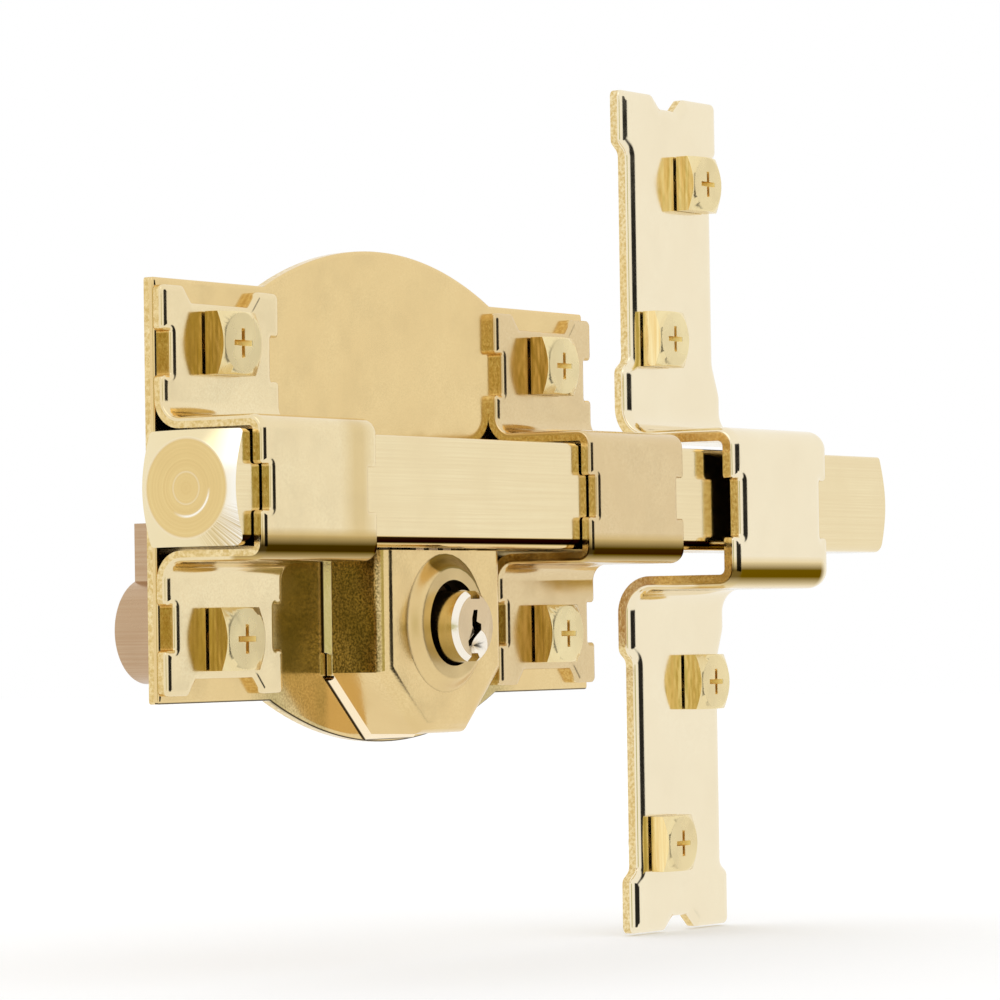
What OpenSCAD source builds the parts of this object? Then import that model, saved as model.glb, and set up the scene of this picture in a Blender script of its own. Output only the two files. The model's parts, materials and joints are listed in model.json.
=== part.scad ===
// Surface-mounted rim bolt with a key cylinder and a hat-shaped strike.
// X runs along the bolt, +Y goes into the door, +Z is up.
// The origin is the centre of the base plate's back face, the face that lies on the door.

/* [Base plate] */
// Length of the base plate along the bolt
plate_w = 150; // [140:1:170]
// Height of the base plate between its straight edges
plate_h = 80; // [78:1:90]
// Thickness of the base plate
plate_t = 2.2; // [1.5:0.1:2.5]
// Height that each round segment adds above and below the plate
dome_rise = 9; // [6:0.5:9]
// Radius of the round segments
dome_r = 91; // [80:1:110]

/* [Bolt] */
// Side of the square bolt
bolt_s = 21.6; // [20:0.2:22]
// Distance of the bolt's left end from the plate's centre
bolt_left = 80.8; // [78:0.1:90]
// Distance of the bolt's right end from the plate's centre, when thrown
bolt_right = 168.5; // [160:0.5:180]
// Radius of the flat turned face on each end of the bolt
bolt_face_r = 9.4; // [8:0.1:10.5]
// Angle of the turned cone behind the end faces
bolt_cone = 30; // [20:1:40]
// Radius along the lower front edge of the bolt
bolt_low_r = 2; // [0.5:0.1:3]
// Radius along the bolt's other long edges
bolt_edge_r = 0.8; // [0.2:0.1:1.5]

/* [Guide straps] */
// Distance from the plate's centre to the middle of each strap
strap_x = 56.5; // [55:0.5:60]
// Width of a strap along the bolt
strap_w = 37; // [34:0.5:37]
// Height of a strap from flange end to flange end
strap_h = 77; // [74:0.5:78]
// Sheet thickness of a strap
strap_t = 2.2; // [1.5:0.1:2.4]
// Gap between the bolt and a strap's legs
strap_gap = 0.6; // [0.3:0.05:0.8]
// Bend radius at a strap's feet, on the concave side
strap_foot_r = 3.4; // [2:0.1:5]
// Outer bend radius at a strap's bridge
strap_bend_r = 3; // [2.6:0.1:4]

/* [Screws] */
// Distance between the strap screws, across the bolt
screw_pitch_z = 56; // [52:0.5:58]
// Side of the square screw heads
head_s = 12; // [10:0.5:13]
// Height of the square screw heads
head_h = 4.6; // [3.5:0.1:6]
// Radius of the screw threads
shank_r = 3; // [2.5:0.1:3.5]
// Length of the strap screws behind the base plate
strap_screw_out = 12; // [6:1:16]
// Length of the strike screws behind the strike
strike_screw_out = 5; // [4:0.5:8]

/* [Strike] */
// Distance from the plate's centre to the middle of the strike
strike_x = 111.5; // [105:0.5:120]
// Height of the strike's middle above the bolt's centre line
strike_z = -1.7; // [-3:0.1:0]
// Width of the strike
strike_w = 40.5; // [38:0.5:44]
// Height of the strike
strike_h = 183; // [175:1:190]
// Sheet thickness of the strike
strike_t = 3; // [2.5:0.1:3.2]
// Half the opening between the strike's legs
strike_half = 14.3; // [13.5:0.1:15]
// Distance from the strike's back to the inside of its bridge
strike_rise = 26.9; // [26:0.1:28]
// Bend radius at the strike's feet, on the concave side
strike_foot_r = 5; // [3:0.5:7]
// Outer bend radius at the strike's bridge
strike_bend_r = 4.2; // [3.5:0.1:6]

/* [Cylinder housing] */
// Width of the housing
housing_w = 42; // [40:1:44]
// Distance from the housing's front face to the door
housing_front = 16.5; // [16:0.1:18]
// Lowest point of the housing below the bolt's centre line
housing_low = 47.3; // [46:0.1:48]
// Width of the housing's flat bottom
housing_base_w = 16; // [14:1:18]
// Sheet thickness of the housing
housing_t = 2; // [1.5:0.1:2.2]
// Radius of the hole for the plug
housing_hole_r = 8.5; // [8:0.1:9.5]
// Radius of the raised boss at its foot
boss_r = 13.8; // [12:0.1:15]
// Height of the raised boss
boss_h = 2.1; // [1:0.1:2.5]
// Width of the flare at the housing's foot
flare = 1.2; // [0.5:0.1:1.3]

/* [Key cylinder] */
// Distance of the cylinder's axis below the bolt's centre line
axis_drop = 26.2; // [26:0.1:26.2]
// Radius of the plugs inside the barrel
plug_r = 6.5; // [6:0.1:6.6]
// Radius of the inner plug's front
plug_nose_r = 7.15; // [6.8:0.05:7.4]
// Distance from the inner plug's face to the door
plug_nose = 23.6; // [22:0.1:26]
// Length of the barrel into the door
barrel_len = 58; // [57:0.5:60]
// Radius of the barrel's round part
barrel_r = 11; // [10.5:0.1:12]
// Height of the barrel's fin above the cylinder's axis
fin_top = 22.2; // [21:0.1:23]
// Width of the barrel's fin
fin_w = 8; // [7:0.5:10]
// Radius of the flange that holds the barrel in the base plate
flange_r = 17; // [16:0.5:17.5]
// Radius of the pins
pin_r = 1.3; // [1.1:0.05:1.35]

/* [Rack and pinion] */
// Module of the teeth
gear_m = 1.5; // [1.5:0.1:1.5]
// Number of teeth on the pinion
teeth = 20; // [20:1:20]

/* [Hidden] */
$fn = 64;

eps = 0.1;                       // overshoot of a cut
fit = 0.05;                      // radial clearance of a running fit
axis_z = -axis_drop;
brass_gold = [0.86, 0.70, 0.38];
brass_pale = [0.93, 0.84, 0.60];
brass_raw = [0.72, 0.58, 0.42];
spring_steel = [0.70, 0.70, 0.72];

bolt_half = bolt_s / 2;
bolt_back = -plate_t - 0.7;      // back face of the bolt
bolt_front = bolt_back - bolt_s; // front face of the bolt
bolt_y = (bolt_back + bolt_front) / 2;

strap_back = -plate_t;
strap_in = bolt_front - 0.35;    // inner face of a strap's bridge
strap_screw_xz = [for (sx = [-1, 1], sz = [-1, 1]) [sx * strap_x, sz * screw_pitch_z / 2]];
neck_h = 0.4;                    // washer face under a square head
neck_r = 4.4;
undercut_r = shank_r - 0.5;      // thread undercut behind a square head
head_face_r = 5.7;               // flat turned face of a square head
cross_l = 5.8;                   // cross recess: length, width and depth of a slot
cross_w = 1;
cross_deep = 2.4;

strike_screw_xz = [[7.5, 72.4], [-7.5, 37.5], [7.5, -37.5], [-7.5, -72.4]];

pitch_r = gear_m * teeth / 2;
tooth_pitch = PI * gear_m;
throw = PI * 2 * pitch_r;        // travel of the bolt in one turn of the key
rack_line = -bolt_half + gear_m; // reference line of the rack, one addendum into the bolt
shift = (rack_line - axis_z - pitch_r) / gear_m;
base_r = pitch_r * cos(20);
root_r = pitch_r + gear_m * (shift - 1.25);
tip_r = pitch_r + gear_m * (shift + 0.6);
backlash = 0.25;
tooth_s = gear_m * (PI / 2 + 2 * shift * tan(20)) - backlash;
pinion_front = -13.8;
pinion_back = -7.8;
flange_t = 2;
flange_front = -plate_t - flange_t;
hub_back = flange_front - 0.3;
hub_r = 9;
set_screw_r = 1.2;
flat_r = 5.7;                    // distance of the plug's drive flat from the axis

window = [24, 33];               // gap in the barrel around the coupler
inner_end = 27;
outer_end = 30;
collar_r = 7.5;
collar_t = 1.6;
slot_w = 2.5;                    // cross slots that take the coupler's tongues
slot_depth = 2.6;
dimple_r = 3;                    // drill-point dimple beside the key slot
clip_t = 0.7;
clip_root = 5.5;
clip_r = 8.2;
inner_pin_y = [for (i = [0:3]) 8.5 + 4 * i];
outer_pin_y = [for (i = [0:4]) 36.5 + 4.25 * i];
chamber_r = pin_r + fit;
driver_top = plug_r + 5.4;
cap_bottom = fin_top - 2;
barrel_screw_xz = [for (sx = [-1, 1]) [sx * 14, axis_z]];
stop_pin_z = 4.5;
stop_pin_r = 2.5;

// Extrudes a shape drawn in X and Z from y = back to y = front, with front < back.
module along_y(front, back) {
    translate([0, back, 0]) rotate([90, 0, 0]) linear_extrude(back - front) children();
}

// Extrudes a shape drawn in Y and Z from x = x0 to x = x1.
module along_x(x0, x1) {
    translate([x0, 0, 0]) rotate([90, 0, 90]) linear_extrude(x1 - x0) children();
}

// A cylinder along Y, from y = front to y = back, on the point xz.
module rod_y(xz, r, front, back) {
    translate([xz[0], back, xz[1]]) rotate([90, 0, 0]) cylinder(r = r, h = back - front);
}

function arc(c, r, a0, a1, n = 10) =
    [for (i = [0:n]) let (a = a0 + (a1 - a0) * i / n) c + r * [cos(a), sin(a)]];
function reversed(p) = [for (i = [len(p) - 1:-1:0]) p[i]];
function flipped(p) = [for (q = p) [q[0], -q[1]]];

// One side of a hat profile above the middle line, drawn in Y and Z.
function hat_side(face, end, foot, foot_r, top, top_r) =
    concat([[face, end]], arc(foot, foot_r, 0, -90), arc(top, top_r, 90, 180));

// Hat profile: flanges at y = back, legs at |z| = half, bridge inside at y = inside.
module hat_profile(back, t, half, inside, end, foot_r, bend_r) {
    foot = [back - t - foot_r, half + t + foot_r];
    top = [inside - t + bend_r, half + t - bend_r];
    front_side = hat_side(back - t, end, foot, foot_r, top, bend_r);
    back_side = hat_side(back, end, foot, foot_r + t, top, bend_r - t);
    polygon(concat(front_side, reversed(flipped(front_side)), flipped(back_side), reversed(back_side)));
}

// A notch drawn in X and Z, cut into the edge at x = 0 towards +X, with rounded inner corners.
module edge_notch(depth, z0, z1, r) {
    polygon(concat(
        [[-eps, z0]],
        arc([depth - r, z0 + r], r, -90, 0, 5),
        arc([depth - r, z1 - r], r, 0, 90, 5),
        [[-eps, z1]]
    ));
}

// A trapezoid notch cut down into the edge at z = 0, centred on x = 0.
module end_notch(mouth, bottom, depth) {
    slope = (mouth - bottom) / 2 / depth;
    polygon([
        [-mouth / 2 - slope * eps, eps], [-bottom / 2, -depth],
        [bottom / 2, -depth], [mouth / 2 + slope * eps, eps]
    ]);
}

module base_plate_outline() {
    square([plate_w, plate_h], center = true);
    for (s = [0, 1]) mirror([0, s]) intersection() {
        translate([0, plate_h / 2 + dome_rise - dome_r]) circle(r = dome_r, $fn = 180);
        translate([-plate_w / 3, 0]) square([plate_w / 1.5, plate_h]);
    }
}

module housing_tenons(gap) {
    for (sx = [-1, 1], z = [-15.5, -27])
        translate([sx * (housing_w - housing_t) / 2, 0, z])
            translate([-housing_t / 2 - gap, -plate_t - gap, -2.5 - gap])
                cube([housing_t + 2 * gap, plate_t + 2 * gap, 5 + 2 * gap]);
}

module base_plate() {
    color(brass_gold) difference() {
        along_y(-plate_t, 0) base_plate_outline();
        for (p = strap_screw_xz) rod_y(p, shank_r + 0.2, -plate_t - eps, eps);
        translate([0, 0, axis_z]) along_y(-plate_t - eps, eps) barrel_outline(0.1);
        rod_y([0, stop_pin_z], stop_pin_r + 0.02, -plate_t - eps, eps);
        for (p = barrel_screw_xz) rod_y(p, 1.5, -plate_t - eps, eps);
        housing_tenons(fit);
    }
}

// The cone of a countersunk head, flush with the front of the barrel's flange.
module countersink(gap) {
    translate([0, flange_front + 1.2, 0]) rotate([90, 0, 0])
        cylinder(r1 = 1.3 + gap, r2 = 2.5 + gap, h = 1.2 + gap / 2);
}

module guide_strap() {
    difference() {
        along_x(-strap_w / 2, strap_w / 2)
            hat_profile(
                strap_back, strap_t, bolt_half + strap_gap, strap_in,
                strap_h / 2, strap_foot_r, strap_bend_r
            );
        for (s = [0, 1]) mirror([s, 0, 0]) translate([-strap_w / 2, 0, 0]) {
            along_y(strap_in - 2 * strap_t, strap_in + 5) edge_notch(2.7, -4.3, 4.3, 0.5);
            for (z = [-30, 21.5])
                along_y(strap_back - 3, strap_back + eps) edge_notch(2.7, z, z + 8.5, 0.5);
        }
        for (s = [0, 1]) mirror([0, 0, s]) translate([0, 0, strap_h / 2])
            along_y(strap_back - 3, strap_back + eps) end_notch(23.5, 18, 3.1);
        for (sz = [-1, 1])
            rod_y([0, sz * screw_pitch_z / 2], shank_r + 0.2, strap_back - 3, strap_back + eps);
    }
}

module left_guide_strap() {
    color(brass_gold) translate([-strap_x, 0, 0]) guide_strap();
}

module right_guide_strap() {
    color(brass_gold) translate([strap_x, 0, 0]) guide_strap();
}

// Cross recess in a face at y = 0: two crossed slots that narrow towards their floor.
module cross_recess() {
    for (a = [0, 90]) rotate([0, a, 0]) translate([0, 0, -cross_w / 2]) linear_extrude(cross_w)
        polygon([[-cross_l / 2, -eps], [cross_l / 2, -eps], [1.1, cross_deep], [-1.1, cross_deep]]);
}

// Square head turned to a cone in front, between y = face and y = face + head_h.
module square_head(face) {
    corner_r = head_s / sqrt(2) + 0.3;
    cone_h = (corner_r - head_face_r) * tan(30);
    intersection() {
        along_y(face, face + head_h) square(head_s, center = true);
        translate([0, face + head_h + eps, 0]) rotate([90, 0, 0]) rotate_extrude() polygon([
            [0, 0], [corner_r, 0], [corner_r, head_h + eps - cone_h],
            [head_face_r, head_h + eps], [0, head_h + eps]
        ]);
    }
}

// Square-head screw; its head stands on a sheet whose front is at y = seat.
module square_screw(seat, out) {
    face = seat - neck_h - head_h;
    difference() {
        union() {
            square_head(face);
            rod_y([0, 0], neck_r, seat - neck_h - eps, seat);
            translate([0, out, 0]) rotate([90, 0, 0]) rotate_extrude() polygon([
                [0, 0], [shank_r - 1, 0], [shank_r, 1], [shank_r, out],
                [undercut_r, out], [undercut_r, out - seat + 0.2], [0, out - seat + 0.2]
            ]);
        }
        translate([0, face, 0]) cross_recess();
    }
}

module strap_screws() {
    color(brass_pale) for (p = strap_screw_xz)
        translate([p[0], 0, p[1]]) square_screw(strap_back - strap_t, strap_screw_out);
}

module strike_screws() {
    color(brass_pale) translate([strike_x, 0, strike_z]) for (p = strike_screw_xz)
        translate([p[0], 0, p[1]]) square_screw(-strike_t, strike_screw_out);
}

module bolt_stop_pin() {
    color(spring_steel) rod_y([0, stop_pin_z], stop_pin_r, bolt_back - 4.2, 0);
}

// Profile of the turned ends, as a solid of revolution around the bolt's axis.
module turned_bar() {
    corner_r = bolt_half * sqrt(2) + 0.2;
    cone_l = (corner_r - bolt_face_r) * tan(bolt_cone);
    translate([0, bolt_y, 0]) rotate([0, 90, 0]) rotate_extrude($fn = 96) polygon([
        [0, -bolt_left], [bolt_face_r, -bolt_left], [corner_r, -bolt_left + cone_l],
        [corner_r, bolt_right - cone_l], [bolt_face_r, bolt_right], [0, bolt_right]
    ]);
}

module bolt_section() {
    function corner(sy, sz, r, a) =
        arc([bolt_y + sy * (bolt_half - r), sz * (bolt_half - r)], r, a, a + 90, 8);
    polygon(concat(
        corner(1, 1, bolt_edge_r, 0), corner(-1, 1, bolt_edge_r, 90),
        corner(-1, -1, bolt_low_r, 180), corner(1, -1, bolt_edge_r, 270)
    ));
}

// One tooth space of the rack, drawn in X and Z.
module rack_space() {
    low = -bolt_half - eps;
    high = rack_line + gear_m * 0.9;
    function half(z) = tooth_pitch / 4 - (z - rack_line) * tan(20);
    polygon([[-half(low), low], [half(low), low], [half(high), high], [-half(high), high]]);
}

module bolt() {
    color(brass_pale) difference() {
        intersection() {
            along_x(-bolt_left - 1, bolt_right + 1) bolt_section();
            turned_bar();
        }
        for (i = [-2:teeth + 2]) translate([i * tooth_pitch, 0, 0])
            along_y(pinion_front - 0.5, bolt_back + eps) rack_space();
        for (x = [0, throw])
            rod_y([x, stop_pin_z], stop_pin_r + 0.3, bolt_back - 4.6, bolt_back + eps);
        translate([0, bolt_back - 4.6, stop_pin_z - stop_pin_r - 0.3])
            cube([throw, 4.6 + eps, 2 * stop_pin_r + 0.6]);
    }
}

module strike() {
    color(brass_pale) translate([strike_x, 0, strike_z]) difference() {
        along_x(-strike_w / 2, strike_w / 2)
            hat_profile(
                0, strike_t, strike_half, -strike_rise,
                strike_h / 2, strike_foot_r, strike_bend_r
            );
        for (s = [0, 1]) mirror([s, 0, 0]) translate([-strike_w / 2, 0, 0]) {
            along_y(-strike_rise - 2 * strike_t, -strike_rise + 6) edge_notch(3, -6.2, 6.2, 0.6);
            for (v = [0, 1]) mirror([0, 0, v])
                along_y(-strike_t - 1, eps) edge_notch(2.9, s == 0 ? 31.5 : 29, 78, 2);
        }
        for (s = [0, 1]) mirror([0, 0, s]) translate([0, 0, strike_h / 2])
            along_y(-strike_t - 1, eps) end_notch(13.5, 6.5, 2.9);
        for (p = strike_screw_xz) rod_y(p, shank_r + 0.2, -strike_t - eps, eps);
    }
}

module housing_outline(inset) {
    side = housing_w / 2;
    foot = housing_base_w / 2;
    knee = -housing_low + (side - foot) * 0.946;
    offset(delta = -inset) polygon([
        [-side, 0], [-side, knee], [-foot, -housing_low],
        [foot, -housing_low], [side, knee], [side, 0]
    ]);
}

// The housing's outline with its front edge rounded to radius r.
module housing_block(inset, front, back, r) {
    hull() {
        along_y(front + r, back) housing_outline(inset);
        for (a = [0:15:90])
            along_y(front + r - r * sin(a), front + r) housing_outline(inset + r - r * cos(a));
    }
}

module housing_flare() {
    hull() {
        along_y(-plate_t - 1.5, -plate_t - 1.4) housing_outline(0);
        along_y(-plate_t - 0.2, -plate_t) housing_outline(-flare);
    }
}

// Raised boss with a soft S-shaped flank, standing on y = 0 towards -Y.
module housing_boss() {
    n = 10;
    flank = [for (i = [0:n]) [boss_r - 3 * i / n, boss_h * (1 - cos(180 * i / n)) / 2]];
    rotate([90, 0, 0]) rotate_extrude($fn = 96)
        polygon(concat([[0, -1], [boss_r, -1]], flank, [[0, boss_h]]));
}

module cylinder_housing() {
    hole = [0, axis_z + 0.7];
    color(brass_gold) {
        difference() {
            union() {
                housing_block(0, -housing_front, -plate_t, 2.75);
                housing_flare();
                translate([hole[0], -housing_front, hole[1]]) housing_boss();
                housing_tenons(0);
            }
            housing_block(housing_t, -housing_front + housing_t, -plate_t + eps, 0.75);
            translate([-50, -50, -bolt_half - 0.3]) cube([100, 100, 50]);
            rod_y(hole, housing_hole_r, -housing_front - 5, 0);
            translate([0, -plate_t, 0]) mirror([0, 1, 0])
                along_x(-housing_w, housing_w) edge_notch(1.5, -36.5, -31, 1.2);
        }
    }
}

module barrel_outline(gap) {
    circle(r = barrel_r + gap);
    translate([-fin_w / 2 - gap, 0]) square([fin_w + 2 * gap, fin_top + gap]);
}

// Round flange of the barrel, cut off just below the bolt.
module barrel_flange() {
    intersection() {
        rod_y([0, axis_z], flange_r, flange_front, -plate_t);
        translate([-flange_r, flange_front, axis_z - flange_r])
            cube([2 * flange_r, flange_t, flange_r - axis_z - bolt_half - 0.8]);
    }
}

module cylinder_barrel() {
    color(brass_raw) difference() {
        union() {
            translate([0, 0, axis_z]) along_y(-plate_t, barrel_len) barrel_outline(0);
            barrel_flange();
        }
        rod_y([0, axis_z], plug_r + fit, flange_front - eps, barrel_len + eps);
        rod_y([0, axis_z], collar_r + fit, barrel_len - collar_t - fit, barrel_len + eps);
        translate([-barrel_r - 1, window[0], axis_z - barrel_r - 1])
            cube([2 * barrel_r + 2, window[1] - window[0], barrel_r + 1 + clip_r + 0.4]);
        for (y = concat(inner_pin_y, outer_pin_y))
            translate([0, y, axis_z + plug_r - 1]) cylinder(r = chamber_r, h = fin_top);
        for (p = barrel_screw_xz) {
            rod_y(p, 1.5, flange_front - eps, 0);
            translate([p[0], 0, p[1]]) countersink(fit);
        }
    }
}

module barrel_screws() {
    color(spring_steel) for (p = barrel_screw_xz) difference() {
        union() {
            rod_y(p, 1.45, flange_front + 0.5, -0.2);
            translate([p[0], 0, p[1]]) countersink(0);
        }
        translate([p[0], flange_front, p[1]]) for (a = [0, 90]) rotate([0, a, 0])
            translate([-1.3, -eps, -0.25]) cube([2.6, 0.8 + eps, 0.5]);
    }
}

module driver_pins() {
    color(brass_raw) for (y = concat(inner_pin_y, outer_pin_y))
        translate([0, y, axis_z + plug_r + 0.1]) cylinder(r = pin_r, h = driver_top - plug_r - 0.1);
}

module chamber_caps() {
    color(brass_raw) for (y = concat(inner_pin_y, outer_pin_y))
        translate([0, y, axis_z + cap_bottom]) cylinder(r = pin_r + 0.04, h = fin_top - cap_bottom);
}

// A coil spring of square wire, standing on z = 0.
module coil_spring(r, wire, h, turns, n) {
    steps = turns * n;
    w = wire / 2;
    function corner(i, dr, dz) = let (a = 360 * i / n)
        [(r + dr) * cos(a), (r + dr) * sin(a), w + (h - wire) * i / steps + dz];
    ring = [[-w, -w], [w, -w], [w, w], [-w, w]];
    points = [for (i = [0:steps], q = ring) corner(i, q[0], q[1])];
    sides = [for (i = [0:steps - 1], k = [0:3]) let (a = 4 * i + k, b = 4 * i + (k + 1) % 4)
        each [[a, b, b + 4], [a, b + 4, a + 4]]];
    last = 4 * steps;
    polyhedron(points, concat([[3, 2, 1, 0]], sides, [[last, last + 1, last + 2, last + 3]]));
}

module pin_springs() {
    color(spring_steel) for (y = concat(inner_pin_y, outer_pin_y))
        translate([0, y, axis_z + driver_top])
            coil_spring(0.95, 0.32, cap_bottom - driver_top, 5, 10);
}

// Key slot with a bent profile, drawn in X and Z around the plug's axis.
module keyway() {
    polygon([
        [-0.6, 3.2], [0.8, 3.2], [0.4, 0.9], [2, 0.4], [2, -0.7], [0.8, -2.2],
        [-0.4, -3.6], [-2.5, -4], [-2.7, -2.9], [-0.8, -1.7], [-0.5, -0.8], [-1.2, 0.1], [-1.2, 1.6]
    ]);
}

module pin_bores(ys) {
    for (y = ys) translate([0, y, axis_z + 1]) cylinder(r = chamber_r, h = plug_r);
}

module key_pins(ys) {
    for (i = [0:len(ys) - 1]) {
        low = 1.8 + 0.7 * ((i * 2) % 3);
        translate([0, ys[i], axis_z + low]) {
            cylinder(r1 = 0.5, r2 = pin_r, h = 0.9);
            translate([0, 0, 0.9]) cylinder(r = pin_r, h = plug_r - 0.15 - low - 0.9);
        }
    }
}

module clip_ring(y) {
    difference() {
        rod_y([0, axis_z], clip_r, y, y + clip_t);
        rod_y([0, axis_z], clip_root + 0.03, y - eps, y + clip_t + eps);
        translate([-3.2, y - eps, axis_z - 12]) cube([6.4, clip_t + 2 * eps, 12]);
    }
}

module inner_plug() {
    groove = window[0] + 0.15;
    color(brass_pale) difference() {
        union() {
            rod_y([0, axis_z], plug_nose_r, -plug_nose + 1, pinion_front);
            translate([0, -plug_nose + 1, axis_z]) rotate([90, 0, 0])
                cylinder(r1 = plug_nose_r, r2 = plug_nose_r - 1, h = 1);
            rod_y([0, axis_z], plug_r, pinion_front - eps, inner_end);
        }
        translate([0, 0, axis_z]) along_y(-plug_nose - eps, 21.8) keyway();
        translate([1.1, -plug_nose + dimple_r * tan(25), axis_z - 3.8]) rotate([90, 0, 0])
            cylinder(r1 = 0, r2 = dimple_r + eps, h = (dimple_r + eps) * tan(25));
        for (sz = [-1, 1]) translate([-1.6, -plug_nose - eps, axis_z + sz * plug_nose_r - 1.8])
            cube([3.2, 3, 3.6]);
        translate([-10, pinion_front, axis_z - 10]) cube([20, inner_end - pinion_front + eps, 10 - flat_r]);
        pin_bores(inner_pin_y);
        difference() {
            rod_y([0, axis_z], plug_r + 1, groove, groove + clip_t + 0.1);
            rod_y([0, axis_z], clip_root, groove - eps, groove + clip_t + 0.2);
        }
        translate([-slot_w / 2, inner_end - slot_depth, axis_z - 10]) cube([slot_w, slot_depth + eps, 20]);
    }
}

module inner_key_pins() {
    color(brass_raw) key_pins(inner_pin_y);
}

module inner_plug_clip() {
    color(spring_steel) clip_ring(window[0] + 0.2);
}

module outer_plug() {
    groove = window[1] - 0.25 - clip_t;
    color(brass_pale) difference() {
        union() {
            rod_y([0, axis_z], plug_r, outer_end, barrel_len);
            rod_y([0, axis_z], collar_r, barrel_len - collar_t, barrel_len);
        }
        translate([0, 0, axis_z]) along_y(34, barrel_len + eps) keyway();
        pin_bores(outer_pin_y);
        difference() {
            rod_y([0, axis_z], plug_r + 1, groove, groove + clip_t + 0.1);
            rod_y([0, axis_z], clip_root, groove - eps, groove + clip_t + 0.2);
        }
        translate([-slot_w / 2, outer_end - eps, axis_z - 10]) cube([slot_w, slot_depth + eps, 20]);
    }
}

module outer_key_pins() {
    color(brass_raw) key_pins(outer_pin_y);
}

module outer_plug_clip() {
    color(spring_steel) clip_ring(window[1] - 0.2 - clip_t);
}

module plug_coupler() {
    tongue = slot_w - 0.1;
    color(brass_raw) {
        rod_y([0, axis_z], 6, inner_end + 0.1, outer_end - 0.1);
        translate([-tongue / 2, inner_end - slot_depth + 0.1, axis_z - 5])
            cube([tongue, outer_end - inner_end + 2 * slot_depth - 0.2, 10]);
    }
}

function involute(a) = tan(a) * 180 / PI - a;
function half_tooth(r) =
    tooth_s / pitch_r * 90 / PI + involute(20) - involute(acos(base_r / r));

// Outline of the pinion, with one tooth pointing up.
module pinion_outline() {
    n = 4;
    flank = [for (i = [0:n]) let (r = root_r + (tip_r - root_r) * i / n) [r, half_tooth(r)]];
    polygon([
        for (k = [0:teeth - 1]) let (a = 90 + 360 * k / teeth)
            for (p = concat([for (q = flank) [q[0], -q[1]]], reversed(flank)))
                p[0] * [cos(a + p[1]), sin(a + p[1])]
    ]);
}

module drive_pinion() {
    color(brass_raw) translate([0, 0, axis_z]) difference() {
        union() {
            along_y(pinion_front, pinion_back) pinion_outline();
            rod_y([0, 0], hub_r, pinion_back - eps, hub_back);
        }
        difference() {
            rod_y([0, 0], plug_r + 0.03, pinion_front - eps, hub_back + eps);
            translate([-10, -50, -20]) cube([20, 100, 20 - flat_r - 0.03]);
        }
        translate([0, (pinion_back + hub_back) / 2, -hub_r - 1])
            cylinder(r = set_screw_r + 0.02, h = hub_r);
    }
}

module pinion_set_screw() {
    color(spring_steel) translate([0, (pinion_back + hub_back) / 2, axis_z - hub_r + 0.2]) difference() {
        cylinder(r = set_screw_r, h = hub_r - 0.2 - flat_r);
        translate([-2, -0.2, -eps]) cube([4, 0.4, 0.8]);
    }
}

base_plate();
left_guide_strap();
right_guide_strap();
cylinder_housing();
strap_screws();
bolt_stop_pin();
bolt();
strike();
strike_screws();
cylinder_barrel();
barrel_screws();
driver_pins();
pin_springs();
chamber_caps();
inner_plug();
inner_key_pins();
inner_plug_clip();
drive_pinion();
pinion_set_screw();
plug_coupler();
outer_plug();
outer_key_pins();
outer_plug_clip();
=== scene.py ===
"""Looks of a brass-plated surface rim bolt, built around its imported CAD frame.

Each visible CAD part is replaced by a finer copy with rolled edges, and every part gets its own metal.
Lengths are in metres: X along the bolt, +Y into the door, +Z up.
"""
import json
import math

import bmesh
import bpy
import numpy as np
from mathutils import Matrix, Vector
from mathutils.geometry import delaunay_2d_cdt


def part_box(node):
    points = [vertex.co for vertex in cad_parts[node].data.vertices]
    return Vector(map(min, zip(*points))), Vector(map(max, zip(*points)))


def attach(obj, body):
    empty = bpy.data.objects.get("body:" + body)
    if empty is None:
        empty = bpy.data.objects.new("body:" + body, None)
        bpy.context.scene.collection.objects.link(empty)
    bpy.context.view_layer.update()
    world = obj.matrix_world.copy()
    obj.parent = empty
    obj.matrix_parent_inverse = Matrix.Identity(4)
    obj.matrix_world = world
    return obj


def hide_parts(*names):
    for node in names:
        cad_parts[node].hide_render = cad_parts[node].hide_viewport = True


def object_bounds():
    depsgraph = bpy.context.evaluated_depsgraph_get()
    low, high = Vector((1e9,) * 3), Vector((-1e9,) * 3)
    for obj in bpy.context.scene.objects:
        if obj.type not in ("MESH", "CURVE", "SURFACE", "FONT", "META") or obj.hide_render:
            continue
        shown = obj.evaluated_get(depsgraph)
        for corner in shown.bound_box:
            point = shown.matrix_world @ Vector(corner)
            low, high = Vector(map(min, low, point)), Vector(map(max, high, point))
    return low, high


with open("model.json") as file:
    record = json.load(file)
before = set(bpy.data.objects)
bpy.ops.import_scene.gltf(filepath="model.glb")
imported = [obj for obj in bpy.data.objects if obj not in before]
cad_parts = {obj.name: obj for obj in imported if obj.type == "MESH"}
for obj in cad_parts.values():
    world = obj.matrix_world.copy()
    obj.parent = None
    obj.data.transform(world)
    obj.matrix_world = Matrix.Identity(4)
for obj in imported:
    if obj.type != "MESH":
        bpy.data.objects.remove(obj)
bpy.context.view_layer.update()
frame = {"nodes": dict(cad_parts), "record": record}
MM = 0.001

# Camera: where it stands, where it looks, and its lens on a 36 mm sensor.
CAMERA_AT = Vector((-765.6, -532.7, -26.5)) * MM
CAMERA_YAW = -56.7      # degrees about +Z, from looking along +Y
CAMERA_PITCH = 1.564    # degrees above the horizon
CAMERA_ROLL = -0.87
CAMERA_LENS = 167.6

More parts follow.
